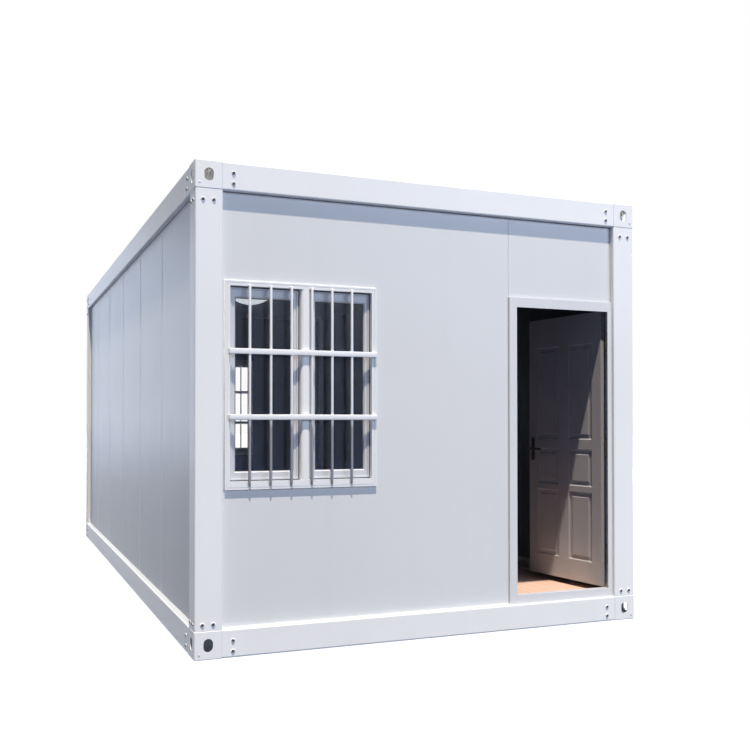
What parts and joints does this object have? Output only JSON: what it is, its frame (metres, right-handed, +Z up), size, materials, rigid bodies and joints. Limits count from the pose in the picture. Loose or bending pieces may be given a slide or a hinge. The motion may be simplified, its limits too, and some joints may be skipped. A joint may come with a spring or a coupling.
{
  "type": "detachable container house",
  "caption": "Flat-pack container cabin: bolted white steel frame with slotted corner fittings, sandwich-panel walls, barred windows and a panelled door that opens inwards.",
  "frame": {"origin": "middle of the footprint on the ground", "axes": "+Z up, the door side faces -Y, +Y runs along the long sides to the rear"},
  "size_m": [3, 5.95, 2.8],
  "materials": {
    "frame_paint": "white powder-coated folded steel, satin",
    "wall_paint": "off-white coated steel skins of sandwich panels, satin",
    "window_white": "white extruded window profile",
    "window_glass": "clear sheet glass",
    "grille_steel": "bright stainless tube",
    "door_frame_paint": "white painted pressed steel",
    "door_leaf_paint": "dark brown-grey painted pressed steel",
    "hardware_steel": "plain steel hardware",
    "floor_board": "wood-toned floor covering on board",
    "galvanised_steel": "galvanised cold-formed steel",
    "roof_steel": "pale coated ribbed steel sheet",
    "ceiling_white": "white coated steel lining",
    "lamp_diffuser": "white opal diffuser"
  },
  "bodies": {
    "house": {"bottom_beam_front": "frame_paint", "bottom_beam_left": "frame_paint", "bottom_beam_rear": "frame_paint", "bottom_beam_right": "frame_paint", "bottom_fitting_front_left": "frame_paint", "bottom_fitting_front_right": "frame_paint", "bottom_fitting_rear_left": "frame_paint", "bottom_fitting_rear_right": "frame_paint", "ceiling_lamps": "lamp_diffuser", "ceiling_panel": "ceiling_white", "door_frame": "door_frame_paint", "door_hinges_frame": "hardware_steel", "floor_deck": "floor_board", "floor_joists": "galvanised_steel", "front_over_door_panel": "wall_paint", "front_window_frame": "window_white", "front_window_glass": "window_glass", "front_window_grille": "grille_steel", "front_window_panel": "wall_paint", "front_window_sashes": "window_white", "left_wall": "wall_paint", "post_front_left": "frame_paint", "post_front_right": "frame_paint", "post_rear_left": "frame_paint", "post_rear_right": "frame_paint", "rear_wall": "wall_paint", "rear_window_frame": "window_white", "rear_window_glass": "window_glass", "rear_window_grille": "grille_steel", "rear_window_panel": "wall_paint", "rear_window_sashes": "window_white", "right_wall": "wall_paint", "roof_purlins": "galvanised_steel", "roof_sheet": "roof_steel", "top_beam_front": "frame_paint", "top_beam_left": "frame_paint", "top_beam_rear": "frame_paint", "top_beam_right": "frame_paint", "top_fitting_front_left": "frame_paint", "top_fitting_front_right": "frame_paint", "top_fitting_rear_left": "frame_paint", "top_fitting_rear_right": "frame_paint"},
    "door": {"door_leaf": "door_leaf_paint", "door_handle": "hardware_steel", "door_hinges_leaf": "hardware_steel"}
  },
  "joints": [
    {"name": "door_swing", "type": "hinge", "parent": "house", "child": "door", "pos_m": [1.332, -2.901, 1.1495], "axis": [0, 0, -1], "range_deg": [-83, 7]}
  ]
}
